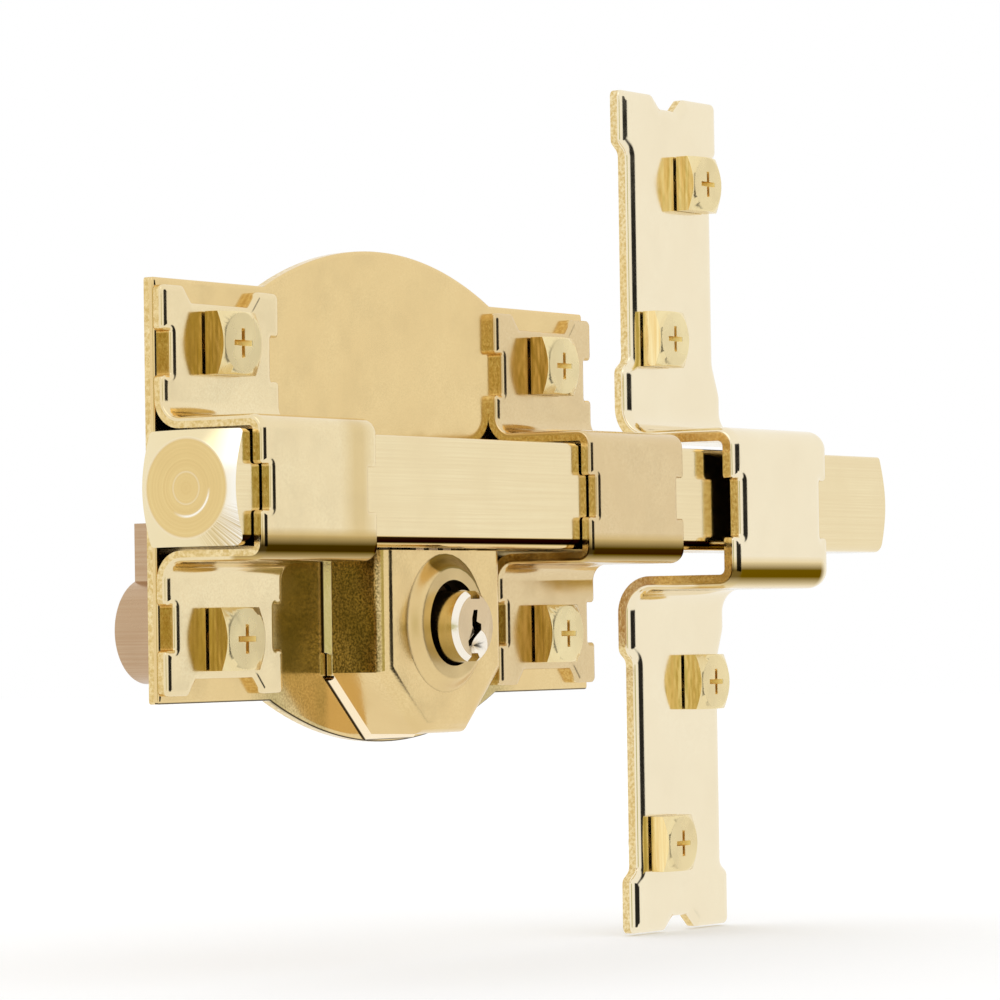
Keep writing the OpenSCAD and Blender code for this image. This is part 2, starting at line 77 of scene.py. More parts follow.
# Colours are linear. Each brightness was set for one kind of part under the white tent.
GOLD = (0.82, 0.63, 0.31)
GOLD_STRAP = (0.87, 0.74, 0.46)
GOLD_PALE = (0.90, 0.80, 0.58)
GOLD_BAR = (0.86, 0.73, 0.45)
GOLD_WORN = (0.76, 0.60, 0.34)
GOLD_END = (0.81, 0.62, 0.28)
GOLD_SCREW = (0.92, 0.79, 0.45)
NICKEL = (0.72, 0.57, 0.36)
RAW = (0.58, 0.42, 0.27)
STEEL = (0.50, 0.49, 0.47)
PAINTED_SHADE = (0.03, 0.018, 0.004)        # almost black brown, painted shade in gaps, holes and creases and painted dark reflection on edges facing down
BRIDGE_SHADE_GOLD = (0.72, 0.55, 0.27)           # golden brown, painted shade near the right end of the left strap's bridge

# Counts of noise per metre, so that every part shares one grain.
GRAIN = (2200, 2200, 2200)
BLOTCHES = (70, 70, 70)
GLOSS_BLOTCHES = (160, 160, 160)
WAVES = (24, 24, 24)
WAVE_DEPTH = 0.03 * MM


# ---------------------------------------------------------------- materials

class Nodes:
    """Short forms for building a tree of shader nodes."""

    def __init__(self, tree):
        self.tree = tree

    def add(self, kind, **settings):
        """A new node with its settings."""
        node = self.tree.nodes.new(kind)
        for key, value in settings.items():
            setattr(node, key, value)
        return node

    def link(self, source, target):
        """Joins an output to an input."""
        self.tree.links.new(source, target)

    def put(self, value, target):
        """Gives an input its value: an output, a number or a vector."""
        if hasattr(value, "is_output"):
            self.link(value, target)
        else:
            target.default_value = value

    def spread(self, value, low, high, start=0.35, end=0.65, soft=False):
        """value from start to end becomes low to high, with a soft start and end if asked."""
        node = self.add("ShaderNodeMapRange", interpolation_type="SMOOTHSTEP" if soft else "LINEAR")
        for key, number in (("From Min", start), ("From Max", end), ("To Min", low), ("To Max", high)):
            node.inputs[key].default_value = number
        self.link(value, node.inputs["Value"])
        return node.outputs["Result"]

    def mix(self, factor, first, second):
        """Blends two colours, each a colour or an output."""
        node = self.add("ShaderNodeMix", data_type="RGBA")
        self.link(factor, node.inputs["Factor"])
        for key, colour in (("A", first), ("B", second)):
            self.put((*colour, 1) if isinstance(colour, tuple) else colour, node.inputs[key])
        return node.outputs["Result"]

    def times(self, first, *others):
        """Product of several outputs."""
        for other in others:
            first = self.calculated("MULTIPLY", first, other)
        return first

    def calculated(self, operation, *values):
        """One Math node; each value is an output or a number."""
        node = self.add("ShaderNodeMath", operation=operation)
        for socket, value in zip(node.inputs, values):
            self.put(value, socket)
        return node.outputs[0]

    def parts(self, vector):
        """X, Y and Z of a vector."""
        node = self.add("ShaderNodeSeparateXYZ")
        self.link(vector, node.inputs[0])
        return node.outputs

    def band(self, value, start, full, end_full, end, soft=False):
        """1 between full and end_full, falling to 0 at start and end."""
        return self.times(self.spread(value, 0, 1, start, full, soft),
                          self.spread(value, 1, 0, end_full, end, soft))


class Material(Nodes):
    """Short forms for building a material's nodes."""

    def __init__(self, name):
        self.material = bpy.data.materials.new(name)
        self.material.use_nodes = True
        super().__init__(self.material.node_tree)
        self.shader = self.tree.nodes["Principled BSDF"]
        self.coords = self.add("ShaderNodeTexCoord").outputs["Object"]

    def noise(self, scale, detail=3.0, rough=0.5):
        """Noise in object space. scale is its count per metre along X, Y and Z."""
        place = self.add("ShaderNodeMapping")
        place.inputs["Scale"].default_value = scale
        self.link(self.coords, place.inputs["Vector"])
        node = self.add("ShaderNodeTexNoise")
        node.inputs["Scale"].default_value = 1.0
        node.inputs["Detail"].default_value = detail
        node.inputs["Roughness"].default_value = rough
        self.link(place.outputs["Vector"], node.inputs["Vector"])
        return node.outputs["Fac"]

    def facing(self):
        """X, Y and Z of the surface's smooth normal."""
        return self.parts(self.add("ShaderNodeNewGeometry").outputs["Normal"])

    def bump(self, height, distance, normal=None):
        """Relief of this depth, on top of an earlier relief."""
        node = self.add("ShaderNodeBump")
        node.inputs["Distance"].default_value = distance
        self.link(height, node.inputs["Height"])
        if normal:
            self.link(normal, node.inputs["Normal"])
        return node.outputs["Normal"]


def darker(colour, factor):
    """The colour times factor, a little more so in green and blue, as brass darkens."""
    return tuple(c * factor ** (1 + 0.6 * i) for i, c in enumerate(colour))


def metal(name, light, dark, rough=(0.08, 0.16), wave=0.0, grain=None, pits=None, speck=None,
          marks_and_painted_light=None):
    """A metal whose colour and roughness vary softly, with optional relief.

    wave is the depth of a long, soft waviness. grain is (counts per metre along X, Y, Z, depth).
    pits is (size, depth) of a fine, even roughness. Depths and sizes are in metres.
    speck is (counts per metre along X, Y, Z, colour, share) of fine spots or streaks.
    The last argument is a function that adds real marks, painted highlights and painted shade to the colour.
    """
    n = Material(name)
    n.shader.inputs["Metallic"].default_value = 1.0
    colour = n.mix(n.spread(n.noise(BLOTCHES, 4), 0, 1), light, dark)
    if speck:
        colour = n.mix(n.spread(n.noise(speck[:3], 2), 0, speck[4]), colour, speck[3])
    if marks_and_painted_light:
        colour = marks_and_painted_light(n, colour)
    n.link(colour, n.shader.inputs["Base Color"])
    n.link(n.spread(n.noise(GLOSS_BLOTCHES, 4), *rough), n.shader.inputs["Roughness"])
    normal = None
    if wave:
        normal = n.bump(n.noise(WAVES, 1.0), wave)
    if grain:
        normal = n.bump(n.noise(grain[:3], 3, 0.7), grain[3], normal)
    if pits:
        normal = n.bump(n.noise((1 / pits[0],) * 3, 2, 0.6), pits[1], normal)
    if normal:
        n.link(normal, n.shader.inputs["Normal"])
    return n.material


BEND_Y = (-20.5 * MM, -19 * MM)     # the bends at the front lie before this place
BEND_FADE = 2 * MM                  # fade of the painted bend shade at its right end


def painted_bend_shade(heights, dark, half_shade, right=None):
    """Paints shade on the lower bend at the front, up to an X of right, standing in for its dark reflection,
    with a painted half shade, golden, below and above it.

    heights are the Z of its start, of full dark, of the end of full dark and of its bottom, going down.
    """
    start, full, full_end, bottom = heights

    def marks_and_painted_light(n, colour):
        place = n.parts(n.coords)
        limits = [n.spread(place["Y"], 1, 0, *BEND_Y)]
        if right:
            limits.append(n.spread(place["X"], 1, 0, right - BEND_FADE, right))
        half_shade_zone = n.times(n.spread(place["Z"], 1, 0, (start + full) / 2, start), *limits)
        shade_core = n.times(n.spread(place["Z"], 1, 0, full, start * 0.6 + full * 0.4),
                       n.spread(place["Z"], 0, 1, bottom, full_end), *limits)
        # The painted shade darkens the reflection as well, since a metal's edge-on reflection is white
        # unless the tint darkens it too.
        n.link(n.mix(shade_core, (1, 1, 1), tuple(c ** 0.5 for c in dark)), n.shader.inputs["Specular Tint"])
        return n.mix(shade_core, n.mix(half_shade_zone, colour, half_shade), dark)
    return marks_and_painted_light


def plate_patch_and_edge_shade(n, colour):
    """Paints shade on the rolled edge where it faces down, for its dark reflection, and leaves the plate
    rougher, darker and speckled beside the housing.
    """
    place = n.parts(n.coords)
    across = n.calculated("ABSOLUTE", place["X"])
    patch = n.times(n.band(across, 20 * MM, 22 * MM, 40 * MM, 48 * MM),
                    n.spread(place["Z"], 1, 0, -12 * MM, -10 * MM),
                    n.spread(place["Y"], 1, 0, -1.5 * MM, -1.2 * MM))
    colour = n.mix(n.times(patch, n.spread(n.noise((90, 90, 90), 2), 0.3, 1)), colour, (0.60, 0.48, 0.22))
    colour = n.mix(n.times(patch, n.spread(n.noise(GRAIN, 2), 0, 0.5)), colour, (0.35, 0.26, 0.09))
    # Painted dark reflection, as shade, on the rolled edge where it faces down.
    facing = n.facing()["Z"]
    return n.mix(n.band(facing, -0.95, -0.8, -0.55, -0.35), colour, PAINTED_SHADE)


def housing_grain_shade_and_highlight(n, colour):
    """Painted shade on the sides, mottled, with a dark sandy grain; a pale foot, a painted highlight; and a
    painted shadow on the last bit above the plate, dark like a gap under the foot.
    """
    place = n.parts(n.coords)
    side = n.spread(n.calculated("ABSOLUTE", n.facing()["X"]), 0, 1, 0.8, 0.97)
    # Painted shade on the sides, mottled.
    dark = n.times(side, n.spread(n.noise((60, 90, 45), 2), 0.2, 0.9, 0.38, 0.62))
    colour = n.mix(dark, colour, (0.36, 0.275, 0.09))
    # A dark sandy grain on the sides.
    colour = n.mix(n.times(side, n.spread(n.noise(GRAIN, 2), 0, 1)), colour, (0.18, 0.14, 0.04))
    # Painted highlight on the pale foot.
    colour = n.mix(n.spread(place["Y"], 0, 1, -3.8 * MM, -3.65 * MM), colour, (1.0, 0.84, 0.58))
    # Painted shadow in a thin band above the plate, like a gap under the foot.
    gap = n.band(place["Y"], -2.65 * MM, -2.5 * MM, -2.22 * MM, -2.18 * MM)
    return n.mix(gap, colour, PAINTED_SHADE)


def boss_crescent_shade(n, colour):
    """Painted shade: a browner crescent on the part of the boss's flank that faces up and to the right,
    standing in for its darker reflection there.
    """
    facing = n.facing()
    turned = n.calculated("ADD", facing["X"], n.calculated("MULTIPLY", facing["Z"], 0.55))
    crescent_shade = n.times(n.spread(turned, 0, 1, 0, 0.04), n.spread(facing["Z"], 0, 1, 0, 0.04))
    return n.mix(crescent_shade, colour, (0.27, 0.185, 0.04))


def plug_highlight_and_shade(n, colour):
    """Painted highlight on the chamfer and dimple, a more golden side with painted shade towards its bottom,
    and dark notches, painted shade in the slots.
    """
    facing = n.facing()
    # Painted highlight on the chamfer and the dimple.
    slant_highlight = n.times(n.spread(facing["Y"], 0, 0.8, -0.97, -0.93),
                    n.spread(facing["Y"], 1, 0, -0.6, -0.5))
    colour = n.mix(slant_highlight, colour, (1.0, 0.95, 0.85))
    side = n.spread(facing["Y"], 0, 1, -0.4, -0.2)
    colour = n.mix(side, colour, (0.82, 0.69, 0.38))
    # Painted shade, darker towards the bottom of the side.
    colour = n.mix(n.times(side, n.spread(facing["Z"], 0.8, 0, -0.6, 0.1)), colour, (0.42, 0.34, 0.14))
    # Painted shade on faces that face straight up or down, the floors of the notches.
    slot_shade = n.spread(n.calculated("ABSOLUTE", facing["Z"]), 0, 0.9, 0.96, 0.98)
    return n.mix(n.times(side, slot_shade), colour, (0.20, 0.16, 0.08))


def painted_bridge_shade(n, colour):
    """Painted shade: a soft golden-brown band near the right end of the left strap's bridge, above its dark
    bend, for the shading where its surface curves slightly.
    """
    low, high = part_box("left_guide_strap")
    x = (low[0] + high[0]) / 2
    place = n.parts(n.coords)
    band = n.times(n.spread(place["X"], 0, 0.9, x + 6 * MM, x + 11 * MM),
                   n.spread(place["X"], 1, 0, x + 13.5 * MM, x + 17.5 * MM),
                   n.spread(place["Y"], 1, 0, -26 * MM, -24 * MM))
    return n.mix(band, colour, BRIDGE_SHADE_GOLD)


def turned_rings_and_highlight(n, colour):
    """Light rings and faint turning marks around the bolt's axis, on its end faces, and a painted highlight
    on the room side of its cones.
    """
    low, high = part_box("bolt")
    place = n.parts(n.coords)
    across = n.calculated("SUBTRACT", place["Y"], (low[1] + high[1]) / 2)
    flat = n.add("ShaderNodeCombineXYZ")
    n.link(across, flat.inputs["X"])
    n.link(place["Z"], flat.inputs["Y"])
    length = n.add("ShaderNodeVectorMath", operation="LENGTH")
    n.link(flat.outputs["Vector"], length.inputs[0])
    radius = length.outputs["Value"]
    marks = n.add("ShaderNodeTexNoise", noise_dimensions="1D")
    marks.inputs["Scale"].default_value = 1500
    n.link(radius, marks.inputs["W"])
    colour = n.mix(n.spread(marks.outputs["Fac"], 0, 1), colour, darker(GOLD_END, 0.93))
    facing = n.facing()["X"]
    cone = n.band(facing, -0.97, -0.93, 0.93, 0.97)
    room_side_highlight = n.spread(across, 1, 0, -10.5 * MM, -6 * MM)
    colour = n.mix(cone, colour, GOLD_BAR)
    # Painted highlight on the cones' room side.
    colour = n.mix(n.times(cone, room_side_highlight), colour, (0.98, 0.94, 0.84))
    for ring, width, share in ((9.3, 0.35, 0.7), (3.0, 0.25, 0.5)):
        rise = n.spread(radius, 0, share, (ring - width) * MM, ring * MM)
        fall = n.spread(radius, 1, 0, ring * MM, (ring + width) * MM)
        colour = n.mix(n.times(rise, fall), colour, GOLD_PALE)
    arc = n.times(n.band(radius, 4.9 * MM, 5.2 * MM, 5.3 * MM, 5.6 * MM),
                  n.spread(place["Z"], 1, 0, -2 * MM, 0), n.spread(across, 1, 0, 0, 3 * MM))
    colour = n.mix(arc, colour, (1.0, 0.95, 0.82))
    corner = n.times(cone, n.spread(place["Z"], 1, 0, -7 * MM, -3 * MM),
                     n.spread(across, 1, 0, -6 * MM, -2 * MM))
    scratches = n.add("ShaderNodeTexNoise", noise_dimensions="1D")
    scratches.inputs["Scale"].default_value = 40
    n.link(n.calculated("ARCTAN2", place["Z"], across), scratches.inputs["W"])
    corner = n.times(corner, n.spread(scratches.outputs["Fac"], 0, 0.8, 0.4, 0.6))
    return n.mix(corner, colour, (0.60, 0.43, 0.17))


def metals():
    """Every metal of the object, by name."""
    strike_low, strike_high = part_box("strike")
    strike_z = (strike_low[2] + strike_high[2]) / 2
    # Painted shade and painted dark reflection on the lower front bends of the straps and the strike, and on
    # the bolt's lower edge.
    strap_bend_shade = painted_bend_shade([-z * MM for z in (7.4, 10.8, 11.8, 13.2)],
                           (0.06, 0.035, 0.006), (0.60, 0.42, 0.15))
    strike_bend_shade = painted_bend_shade([strike_z - z * MM for z in (10.4, 13.4, 14.8, 16.8)],
                            (0.16, 0.10, 0.02), (0.80, 0.63, 0.33), strike_high[0] - BEND_FADE)
    bolt_edge_shade = painted_bend_shade([-z * MM for z in (8.6, 8.9, 9.9, 10.2)],
                          PAINTED_SHADE, (0.80, 0.58, 0.24), strike_low[0])
    return {
        "plate": metal("polished_plate", GOLD, darker(GOLD, 0.96), (0.10, 0.18), wave=WAVE_DEPTH,
                       speck=(*GRAIN, darker(GOLD, 0.95), 1), marks_and_painted_light=plate_patch_and_edge_shade),
        "strap": metal("polished_strap", GOLD_STRAP, darker(GOLD_STRAP, 0.95), (0.09, 0.17), wave=WAVE_DEPTH,
                       speck=(*GRAIN, darker(GOLD_STRAP, 0.95), 1),
                       marks_and_painted_light=lambda n, colour: strap_bend_shade(n, painted_bridge_shade(n, colour))),
        "dull strap": metal("worn_strap", GOLD_WORN, darker(GOLD_WORN, 0.95), (0.12, 0.20), wave=WAVE_DEPTH,
                            speck=(*GRAIN, darker(GOLD_WORN, 0.94), 1), marks_and_painted_light=strap_bend_shade),
        "housing": metal("pressed_housing", GOLD, darker(GOLD, 0.92), (0.12, 0.22), wave=WAVE_DEPTH,
                         pits=(0.5 * MM, 0.02 * MM), speck=(*GRAIN, darker(GOLD, 0.93), 1),
                         marks_and_painted_light=housing_grain_shade_and_highlight),
        "strike": metal("polished_strike", GOLD_PALE, darker(GOLD_PALE, 0.97), (0.08, 0.15), wave=WAVE_DEPTH,
                        speck=(*GRAIN, darker(GOLD_PALE, 0.98), 1), marks_and_painted_light=strike_bend_shade),
        "sheared": metal("sheared_edge", (0.90, 0.75, 0.44), (0.87, 0.68, 0.34), (0.12, 0.24),
                         pits=(0.6 * MM, 0.035 * MM), speck=(1500, 1500, 1500, (0.66, 0.46, 0.16), 0.9)),
        "bar": metal("brushed_bar", GOLD_BAR, darker(GOLD_BAR, 0.96), (0.07, 0.13),
                     grain=(25, 3000, 3000, 0.002 * MM), speck=(25, 2500, 2500, darker(GOLD_BAR, 0.95), 1),
                     marks_and_painted_light=bolt_edge_shade),
        "bar end": metal("turned_bar_end", GOLD_END, darker(GOLD_END, 0.96), (0.14, 0.22),
                         marks_and_painted_light=turned_rings_and_highlight),
        "boss": metal("pressed_boss", GOLD, darker(GOLD, 0.94), (0.30, 0.42),
                      speck=(*GRAIN, darker(GOLD, 0.95), 1), marks_and_painted_light=boss_crescent_shade),
        "screw": metal("screw_plating", GOLD_SCREW, darker(GOLD_SCREW, 0.95), (0.22, 0.32),
                       speck=(60, 1500, 60, darker(GOLD_SCREW, 0.92), 1)),
        "screw side": metal("screw_side_plating", (0.90, 0.67, 0.29), (0.84, 0.58, 0.20), (0.10, 0.20),
                            grain=(60, 160, 60, 0.25 * MM), speck=(60, 1500, 60, (0.62, 0.42, 0.14), 1)),
        "bright side": metal("bright_side_plating", (1.0, 0.86, 0.50), (0.98, 0.80, 0.40), (0.10, 0.20),
                             grain=(60, 160, 60, 0.15 * MM), speck=(60, 1500, 60, (0.90, 0.66, 0.28), 1)),
        # The plating's gold, made lighter and more saturated as painted light bounced within the cross
        # recess.
        "recess": metal("recess_bounce_light", (1.0, 0.80, 0.36), (0.95, 0.70, 0.24), (0.4, 0.5)),
        "plug": metal("turned_plug", NICKEL, darker(NICKEL, 0.94), (0.12, 0.24),
                      pits=(0.2 * MM, 0.003 * MM), speck=(*GRAIN, darker(NICKEL, 0.95), 1),
                      marks_and_painted_light=plug_highlight_and_shade),
        "barrel": metal("raw_barrel", RAW, darker(RAW, 0.93), (0.18, 0.30),
                        grain=(2600, 40, 2600, 0.006 * MM),
                        speck=(2600, 40, 2600, darker(RAW, 0.88), 1)),
        "pins": metal("turned_brass", RAW, darker(RAW, 0.92), (0.20, 0.30),
                      grain=(800, 4000, 800, 0.004 * MM)),
        "steel": metal("bright_steel", STEEL, darker(STEEL, 0.92), (0.15, 0.28),
                       pits=(0.3 * MM, 0.003 * MM)),
        "shadow": metal("shadowed_brass", (0.05, 0.03, 0.008), PAINTED_SHADE, (0.5, 0.6)),
    }


METALS = metals()
NODE_METAL = {
    "base_plate": "plate", "left_guide_strap": "strap", "right_guide_strap": "dull strap",
    "cylinder_housing": "housing", "strap_screws": "screw", "strike_screws": "screw", "bolt": "bar",
    "strike": "strike", "cylinder_barrel": "barrel", "inner_plug": "plug", "outer_plug": "plug",
    "driver_pins": "pins", "chamber_caps": "pins", "inner_key_pins": "pins", "outer_key_pins": "pins",
    "drive_pinion": "pins", "plug_coupler": "pins", "bolt_stop_pin": "steel", "barrel_screws": "steel",
    "pin_springs": "steel", "inner_plug_clip": "steel", "outer_plug_clip": "steel",
    "pinion_set_screw": "steel",
}


# ---------------------------------------------------------------- finer copies of the CAD parts


def body_of(node):
    """The body that holds the node."""
    for body, members in frame["record"]["behaviour"]["bodies"].items():
        if node in members:
            return body


def stand_for(node, mesh):
    """Puts a mesh in the scene in place of a CAD node."""
    piece = bpy.data.objects.new(node + "_finish", mesh)
    bpy.context.scene.collection.objects.link(piece)
    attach(piece, body_of(node))
    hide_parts(node)
    return piece


def cad_copy(node):
    """The CAD node's mesh with its flat faces joined and smooth shading."""
    mesh = frame["nodes"][node].data.copy()
    bm = bmesh.new()
    bm.from_mesh(mesh)
    bmesh.ops.remove_doubles(bm, verts=bm.verts, dist=0.001 * MM)
    bmesh.ops.dissolve_limit(bm, angle_limit=math.radians(1), verts=bm.verts, edges=bm.edges)
    for face in bm.faces:
        face.smooth = True
    bm.to_mesh(mesh)
    bm.free()
    mesh.materials.clear()
    mesh.materials.append(METALS[NODE_METAL[node]])
    return mesh


def finer_copy(node, width, segments=3, angle=30, others=(), choose=None):
    """Replaces a CAD node by a copy whose sharp edges are rolled to a radius of width.

    choose gives a face's metal: 0 is the node's own, 1 and up are the others.
    """
    rough = bpy.data.objects.new(node + "_rough", cad_copy(node))
    bpy.context.scene.collection.objects.link(rough)
    bevel = rough.modifiers.new("rolled_edges", "BEVEL")
    bevel.width = width
    bevel.segments = segments
    bevel.limit_method = "ANGLE"
    bevel.angle_limit = math.radians(angle)
    weighted = rough.modifiers.new("flat_faces_stay_flat", "WEIGHTED_NORMAL")
    weighted.weight = 90
    bpy.context.view_layer.update()
    evaluated = rough.evaluated_get(bpy.context.evaluated_depsgraph_get())
    done = bpy.data.meshes.new_from_object(evaluated)
    bpy.data.objects.remove(rough)
    for name in others:
        done.materials.append(METALS[name])
    if choose:
        for face in done.polygons:
            face.material_index = choose(face)
    return stand_for(node, done)


# ---------------------------------------------------------------- pressed sheets

MID_SHEAR = 0.42        # share of a sheared edge that is smooth, from the front
BEND_STEPS = 14         # strips in each bend
GRID_STEP = 1.0         # longest side of a sheet's faces, in millimetres like all sizes of the sheets
ROLL_ANGLES = (12, 24, 36, 48, 58, 67, 74, 80, 85, 90)      # rows of faces on a rolled edge, in degrees


def rounded(corners, steps=6):
    """Points of a polygon given as (u, v, corner radius); a radius of 0 keeps the corner."""
    points = []
    for i, (u, v, radius) in enumerate(corners):
        here = Vector((u, v))
        if radius == 0:
            points.append(here)
            continue
        back = (Vector(corners[i - 1][:2]) - here).normalized()
        ahead = (Vector(corners[(i + 1) % len(corners)][:2]) - here).normalized()
        half = back.angle(ahead) / 2
        centre = here + (back + ahead).normalized() * (radius / math.sin(half))
        start = here + back * (radius / math.tan(half)) - centre
        turn = start.angle_signed(here + ahead * (radius / math.tan(half)) - centre)
        for k in range(steps + 1):
            points.append(centre + Matrix.Rotation(-turn * k / steps, 2) @ start)
    return points


def all_round(right, left=None):
    """A whole outline from the corners of its upper right and upper left quarters, side to top."""
    left = [(-u, v, r) for u, v, r in (left or right)]
    top = right + left[::-1]
    return top + [(u, -v, r) for u, v, r in top[::-1]]


def divided(points, lines, step):
    """The outline with added points on every v = line, and no gap longer than step."""
    result = []
    for p, q in zip(points, points[1:] + points[:1]):
        run = q - p
        cuts = {k / max(1, math.ceil(run.length / step)) for k in range(math.ceil(run.length / step))}
        cuts |= {(v - p.y) / run.y for v in lines if abs(run.y) > 1e-6 and 0.001 < (v - p.y) / run.y < 0.999}
        last = -1
        for cut in sorted(cuts | {0.0}):
            if (cut - last) * run.length > 0.05 and (1 - cut) * run.length > 0.05 or cut == 0:
                result.append(p + run * cut)
                last = cut
    return result


def nearest(outline, points):
    """Distance of each point to the outline, and the vector to its nearest place."""
    a = np.array([tuple(p) for p in outline])
    run = np.roll(a, -1, axis=0) - a
    rel = points[:, None, :] - a[None]
    share = np.clip((rel * run).sum(2) / (run * run).sum(1), 0, 1)
    gap = share[..., None] * run[None] - rel
    square = (gap * gap).sum(2)
    rows = np.arange(len(points))
    best = square.argmin(1)
    return np.sqrt(square[rows, best]), gap[rows, best]


def area_tri(a, b, c):
    """Signed area of a triangle, positive when it runs anticlockwise."""
    return ((b - a).x * (c - a).y - (b - a).y * (c - a).x) / 2


def inside(loop, point):
    """Whether the point lies in the closed loop."""
    hit = False
    for p, q in zip(loop, loop[1:] + loop[:1]):
        if (p[1] > point[1]) != (q[1] > point[1]):
            if point[0] < p[0] + (point[1] - p[1]) * (q[0] - p[0]) / (q[1] - p[1]):
                hit = not hit
    return hit


class FlatSheet:
    """A flat sheet whose front is at y = front. u runs along +X, v along +Z, w into the sheet."""
    lines = []

    def __init__(self, front):
        self.front = front

    def place(self, u, v, w):
        """The place of a point of the sheet."""
        return Vector((u, self.front + w, v))

    def axes(self, v):
        """Directions of u, v and the sheet's front at v."""
        return Vector((1, 0, 0)), Vector((0, 0, 1)), Vector((0, -1, 0))


class HatSheet:
    """A sheet bent to a hat. v runs along its front from the middle of the bridge, w into the sheet."""

    def __init__(self, back, sheet, half, bridge, end, foot_r, bend_r, x, z):
        self.sheet, self.half, self.x, self.z = sheet, half, x, z
        self.front, self.bridge, self.foot_r, self.bend_r = back - sheet, bridge, foot_r, bend_r
        self.top = half + sheet - bend_r
        self.leg = self.top + bend_r * math.pi / 2
        self.leg_y = bridge + bend_r
        self.foot = self.leg + self.front - foot_r - self.leg_y
        self.flange = self.foot + foot_r * math.pi / 2
        self.flange_z = half + sheet + foot_r
        self.tip = self.flange + end - self.flange_z
        shares = [k / BEND_STEPS for k in range(BEND_STEPS + 1)]
        bends = [self.top + (self.leg - self.top) * share for share in shares]
        bends += [self.foot + (self.flange - self.foot) * share for share in shares]
        self.lines = [-v for v in bends] + bends

    def at(self, z):
        """v of a place on the flange, z above the middle."""
        return self.flange + z - self.flange_z

    def angle(self, v):
        """How far the sheet's front has turned from facing -Y towards facing up, in radians."""
        v = abs(v)
        if v < self.leg:
            return max(0.0, (v - self.top) / self.bend_r)
        return math.pi / 2 - min(math.pi / 2, max(0.0, (v - self.foot) / self.foot_r))

    def place(self, u, v, w):
        """The place of a point of the sheet."""
        side, v, turn = math.copysign(1, v), abs(v), self.angle(v)
        if v < self.leg:
            y = self.leg_y - (self.bend_r - w) * math.cos(turn)
            z = min(v, self.top) + (self.bend_r - w) * math.sin(turn)
        elif v < self.foot:
            y, z = self.leg_y + v - self.leg, self.half + self.sheet - w
        else:
            y = self.front - self.foot_r + (self.foot_r + w) * math.cos(turn)
            z = self.flange_z - (self.foot_r + w) * math.sin(turn) + max(0.0, v - self.flange)
        return Vector((self.x + u, y, self.z + side * z))

    def axes(self, v):
        """Directions of u, v and the sheet's front at v."""
        side, turn = math.copysign(1, v), self.angle(v)
        along = Vector((0, side * math.sin(turn), math.cos(turn)))
        return Vector((1, 0, 0)), along, Vector((0, -math.cos(turn), side * math.sin(turn)))


